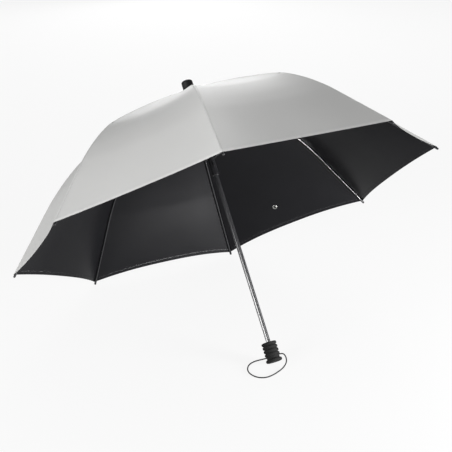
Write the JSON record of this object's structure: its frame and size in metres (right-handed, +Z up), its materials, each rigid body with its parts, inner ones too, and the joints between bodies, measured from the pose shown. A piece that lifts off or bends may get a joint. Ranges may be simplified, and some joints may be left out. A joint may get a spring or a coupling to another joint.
{
  "type": "sun umbrella",
  "caption": "Open hand-held sun umbrella with a silver canopy, black lining, folding ribs, a sliding runner, a ribbed foam grip and a wrist cord.",
  "frame": {"origin": "middle of the floor area under the umbrella as it lies open, on the floor plane", "axes": "+Z up from the floor, +Y the way the shaft leans, +X to the right seen from the grip's side"},
  "size_m": [0.8684, 0.6851, 0.5787],
  "materials": {
    "canopy_silver": "satin silver coating outside, black lining inside",
    "canopy_lining": "matt black coating",
    "fibreglass_black": "black fibreglass, satin",
    "moulding_black": "black moulded nylon",
    "foam_grip": "black closed-cell foam",
    "spring_steel": "drawn wire",
    "stud_metal": "nickel press stud",
    "strap_black": "black woven tape",
    "cord_black": "black braided cord"
  },
  "bodies": {
    "root": {"shaft": "fibreglass_black", "crown": "moulding_black", "crown_wire": "spring_steel", "ferrule_cap": "moulding_black", "runner_stop": "moulding_black", "grip": "foam_grip", "grip_plug": "moulding_black", "wrist_cord": "cord_black"},
    "runner": {"runner": "moulding_black", "runner_wire": "spring_steel"},
    "button": {"release_button": "moulding_black"},
    "rib_1": {"rib_inner_1": "fibreglass_black", "canopy_inner_1": "canopy_silver"},
    "rib_end_1": {"rib_outer_1": "fibreglass_black", "rib_tip_1": "moulding_black", "canopy_outer_1": "canopy_silver"},
    "stretcher_1": {"stretcher_1": "fibreglass_black"},
    "rib_2": {"rib_inner_2": "fibreglass_black", "canopy_inner_2": "canopy_silver"},
    "rib_end_2": {"rib_outer_2": "fibreglass_black", "rib_tip_2": "moulding_black", "canopy_outer_2": "canopy_silver"},
    "stretcher_2": {"stretcher_2": "fibreglass_black"},
    "rib_3": {"rib_inner_3": "fibreglass_black", "canopy_inner_3": "canopy_silver"},
    "rib_end_3": {"rib_outer_3": "fibreglass_black", "rib_tip_3": "moulding_black", "canopy_outer_3": "canopy_silver"},
    "stretcher_3": {"stretcher_3": "fibreglass_black"},
    "rib_4": {"rib_inner_4": "fibreglass_black", "canopy_inner_4": "canopy_silver"},
    "rib_end_4": {"rib_outer_4": "fibreglass_black", "rib_tip_4": "moulding_black", "canopy_outer_4": "canopy_silver"},
    "stretcher_4": {"stretcher_4": "fibreglass_black"},
    "rib_5": {"rib_inner_5": "fibreglass_black", "canopy_inner_5": "canopy_silver"},
    "rib_end_5": {"rib_outer_5": "fibreglass_black", "rib_tip_5": "moulding_black", "canopy_outer_5": "canopy_silver"},
    "stretcher_5": {"stretcher_5": "fibreglass_black"},
    "rib_6": {"rib_inner_6": "fibreglass_black", "canopy_inner_6": "canopy_silver"},
    "rib_end_6": {"rib_outer_6": "fibreglass_black", "rib_tip_6": "moulding_black", "canopy_outer_6": "canopy_silver"},
    "stretcher_6": {"stretcher_6": "fibreglass_black"},
    "rib_7": {"rib_inner_7": "fibreglass_black", "canopy_inner_7": "canopy_silver"},
    "rib_end_7": {"rib_outer_7": "fibreglass_black", "rib_tip_7": "moulding_black", "canopy_outer_7": "canopy_silver"},
    "stretcher_7": {"stretcher_7": "fibreglass_black"},
    "rib_8": {"rib_inner_8": "fibreglass_black", "canopy_inner_8": "canopy_silver"},
    "rib_end_8": {"rib_outer_8": "fibreglass_black", "rib_tip_8": "moulding_black", "canopy_outer_8": "canopy_silver", "closure_strap": "strap_black"},
    "stretcher_8": {"stretcher_8": "fibreglass_black"}
  },
  "joints": [
    {"name": "rib_fold_1", "type": "hinge", "parent": "root", "child": "rib_1", "pos_m": [-0.00364, 0.1789, 0.48256], "axis": [-0.9239, -0.3008, 0.2365], "range_deg": [0, 66.7], "deforming": ["canopy_inner_1"]},
    {"name": "rib_flex_1", "type": "hinge", "parent": "rib_1", "child": "rib_end_1", "pos_m": [-0.09505, 0.30667, 0.28803], "axis": [-0.9239, -0.3008, 0.2365], "range_deg": [-15.95, 0], "deforming": ["canopy_outer_1"]},
    {"name": "stretcher_swing_1", "type": "hinge", "parent": "rib_1", "child": "stretcher_1", "pos_m": [-0.09156, 0.29879, 0.29163], "axis": [-0.9239, -0.3008, 0.2365], "range_deg": [-133.5, 0]},
    {"name": "rib_fold_2", "type": "hinge", "parent": "root", "child": "rib_2", "pos_m": [-0.00878, 0.17485, 0.48574], "axis": [-0.3827, -0.7263, 0.5711], "range_deg": [0, 66.7], "deforming": ["canopy_inner_2"]},
    {"name": "rib_flex_2", "type": "hinge", "parent": "rib_2", "child": "rib_end_2", "pos_m": [-0.22946, 0.20101, 0.37112], "axis": [-0.3827, -0.7263, 0.5711], "range_deg": [-15.95, 0], "deforming": ["canopy_outer_2"]},
    {"name": "stretcher_swing_2", "type": "hinge", "parent": "rib_2", "child": "stretcher_2", "pos_m": [-0.22105, 0.19701, 0.37166], "axis": [-0.3827, -0.7263, 0.5711], "range_deg": [-133.5, 0]},
    {"name": "rib_fold_3", "type": "hinge", "parent": "root", "child": "rib_3", "pos_m": [-0.00878, 0.16914, 0.49023], "axis": [0.3827, -0.7263, 0.5711], "range_deg": [0, 66.7], "deforming": ["canopy_inner_3"]},
    {"name": "rib_flex_3", "type": "hinge", "parent": "rib_3", "child": "rib_end_3", "pos_m": [-0.22946, 0.05158, 0.48861], "axis": [0.3827, -0.7263, 0.5711], "range_deg": [-15.95, 0], "deforming": ["canopy_outer_3"]},
    {"name": "stretcher_swing_3", "type": "hinge", "parent": "rib_3", "child": "stretcher_3", "pos_m": [-0.22105, 0.05305, 0.48485], "axis": [0.3827, -0.7263, 0.5711], "range_deg": [-133.5, 0]},
    {"name": "rib_fold_4", "type": "hinge", "parent": "root", "child": "rib_4", "pos_m": [-0.00364, 0.1651, 0.49341], "axis": [0.9239, -0.3008, 0.2365], "range_deg": [0, 66.7], "deforming": ["canopy_inner_4"]},
    {"name": "rib_flex_4", "type": "hinge", "parent": "rib_4", "child": "rib_end_4", "pos_m": [-0.09505, -0.05408, 0.57169], "axis": [0.9239, -0.3008, 0.2365], "range_deg": [-15.95, 0], "deforming": ["canopy_outer_4"]},
    {"name": "stretcher_swing_4", "type": "hinge", "parent": "rib_4", "child": "stretcher_4", "pos_m": [-0.09156, -0.04874, 0.56489], "axis": [0.9239, -0.3008, 0.2365], "range_deg": [-133.5, 0]},
    {"name": "rib_fold_5", "type": "hinge", "parent": "root", "child": "rib_5", "pos_m": [0.00364, 0.1651, 0.49341], "axis": [0.9239, 0.3008, -0.2365], "range_deg": [0, 66.7], "deforming": ["canopy_inner_5"]},
    {"name": "rib_flex_5", "type": "hinge", "parent": "rib_5", "child": "rib_end_5", "pos_m": [0.09505, -0.05408, 0.57169], "axis": [0.9239, 0.3008, -0.2365], "range_deg": [-15.95, 0], "deforming": ["canopy_outer_5"]},
    {"name": "stretcher_swing_5", "type": "hinge", "parent": "rib_5", "child": "stretcher_5", "pos_m": [0.09156, -0.04874, 0.56489], "axis": [0.9239, 0.3008, -0.2365], "range_deg": [-133.5, 0]},
    {"name": "rib_fold_6", "type": "hinge", "parent": "root", "child": "rib_6", "pos_m": [0.00878, 0.16914, 0.49023], "axis": [0.3827, 0.7263, -0.5711], "range_deg": [0, 66.7], "deforming": ["canopy_inner_6"]},
    {"name": "rib_flex_6", "type": "hinge", "parent": "rib_6", "child": "rib_end_6", "pos_m": [0.22946, 0.05158, 0.48861], "axis": [0.3827, 0.7263, -0.5711], "range_deg": [-15.95, 0], "deforming": ["canopy_outer_6"]},
    {"name": "stretcher_swing_6", "type": "hinge", "parent": "rib_6", "child": "stretcher_6", "pos_m": [0.22105, 0.05305, 0.48485], "axis": [0.3827, 0.7263, -0.5711], "range_deg": [-133.5, 0]},
    {"name": "rib_fold_7", "type": "hinge", "parent": "root", "child": "rib_7", "pos_m": [0.00878, 0.17485, 0.48574], "axis": [-0.3827, 0.7263, -0.5711], "range_deg": [0, 66.7], "deforming": ["canopy_inner_7"]},
    {"name": "rib_flex_7", "type": "hinge", "parent": "rib_7", "child": "rib_end_7", "pos_m": [0.22946, 0.20101, 0.37112], "axis": [-0.3827, 0.7263, -0.5711], "range_deg": [-15.95, 0], "deforming": ["canopy_outer_7"]},
    {"name": "stretcher_swing_7", "type": "hinge", "parent": "rib_7", "child": "stretcher_7", "pos_m": [0.22105, 0.19701, 0.37166], "axis": [-0.3827, 0.7263, -0.5711], "range_deg": [-133.5, 0]},
    {"name": "rib_fold_8", "type": "hinge", "parent": "root", "child": "rib_8", "pos_m": [0.00364, 0.1789, 0.48256], "axis": [-0.9239, 0.3008, -0.2365], "range_deg": [0, 66.7], "deforming": ["canopy_inner_8"]},
    {"name": "rib_flex_8", "type": "hinge", "parent": "rib_8", "child": "rib_end_8", "pos_m": [0.09505, 0.30667, 0.28803], "axis": [-0.9239, 0.3008, -0.2365], "range_deg": [-15.95, 0], "deforming": ["canopy_outer_8", "closure_strap"]},
    {"name": "stretcher_swing_8", "type": "hinge", "parent": "rib_8", "child": "stretcher_8", "pos_m": [0.09156, 0.29879, 0.29163], "axis": [-0.9239, 0.3008, -0.2365], "range_deg": [-133.5, 0]},
    {"name": "runner_slide", "type": "slide", "parent": "root", "child": "runner", "axis": [0, -0.6181, -0.7861], "range_m": [0, 0.33019]},
    {"name": "button_press", "type": "slide", "parent": "runner", "child": "button", "axis": [0, 0.7861, -0.6181], "range_m": [0, 0.0012], "stiffness_N_per_m": 300, "springref_m": -0.002}
  ],
  "couplings": [
    {"joint": "rib_flex_1", "follows": "rib_fold_1", "ratio": -0.23838},
    {"joint": "stretcher_swing_1", "follows": "rib_fold_1", "ratio": -2},
    {"joint": "rib_fold_2", "follows": "rib_fold_1", "ratio": 1},
    {"joint": "rib_flex_2", "follows": "rib_fold_1", "ratio": -0.23838},
    {"joint": "stretcher_swing_2", "follows": "rib_fold_1", "ratio": -2},
    {"joint": "rib_fold_3", "follows": "rib_fold_1", "ratio": 1},
    {"joint": "rib_flex_3", "follows": "rib_fold_1", "ratio": -0.23838},
    {"joint": "stretcher_swing_3", "follows": "rib_fold_1", "ratio": -2},
    {"joint": "rib_fold_4", "follows": "rib_fold_1", "ratio": 1},
    {"joint": "rib_flex_4", "follows": "rib_fold_1", "ratio": -0.23838},
    {"joint": "stretcher_swing_4", "follows": "rib_fold_1", "ratio": -2},
    {"joint": "rib_fold_5", "follows": "rib_fold_1", "ratio": 1},
    {"joint": "rib_flex_5", "follows": "rib_fold_1", "ratio": -0.23838},
    {"joint": "stretcher_swing_5", "follows": "rib_fold_1", "ratio": -2},
    {"joint": "rib_fold_6", "follows": "rib_fold_1", "ratio": 1},
    {"joint": "rib_flex_6", "follows": "rib_fold_1", "ratio": -0.23838},
    {"joint": "stretcher_swing_6", "follows": "rib_fold_1", "ratio": -2},
    {"joint": "rib_fold_7", "follows": "rib_fold_1", "ratio": 1},
    {"joint": "rib_flex_7", "follows": "rib_fold_1", "ratio": -0.23838},
    {"joint": "stretcher_swing_7", "follows": "rib_fold_1", "ratio": -2},
    {"joint": "rib_fold_8", "follows": "rib_fold_1", "ratio": 1},
    {"joint": "rib_flex_8", "follows": "rib_fold_1", "ratio": -0.23838},
    {"joint": "stretcher_swing_8", "follows": "rib_fold_1", "ratio": -2},
    {"joint": "runner_slide", "follows": "rib_fold_1", "m_per_rad": 0.28363}
  ]
}
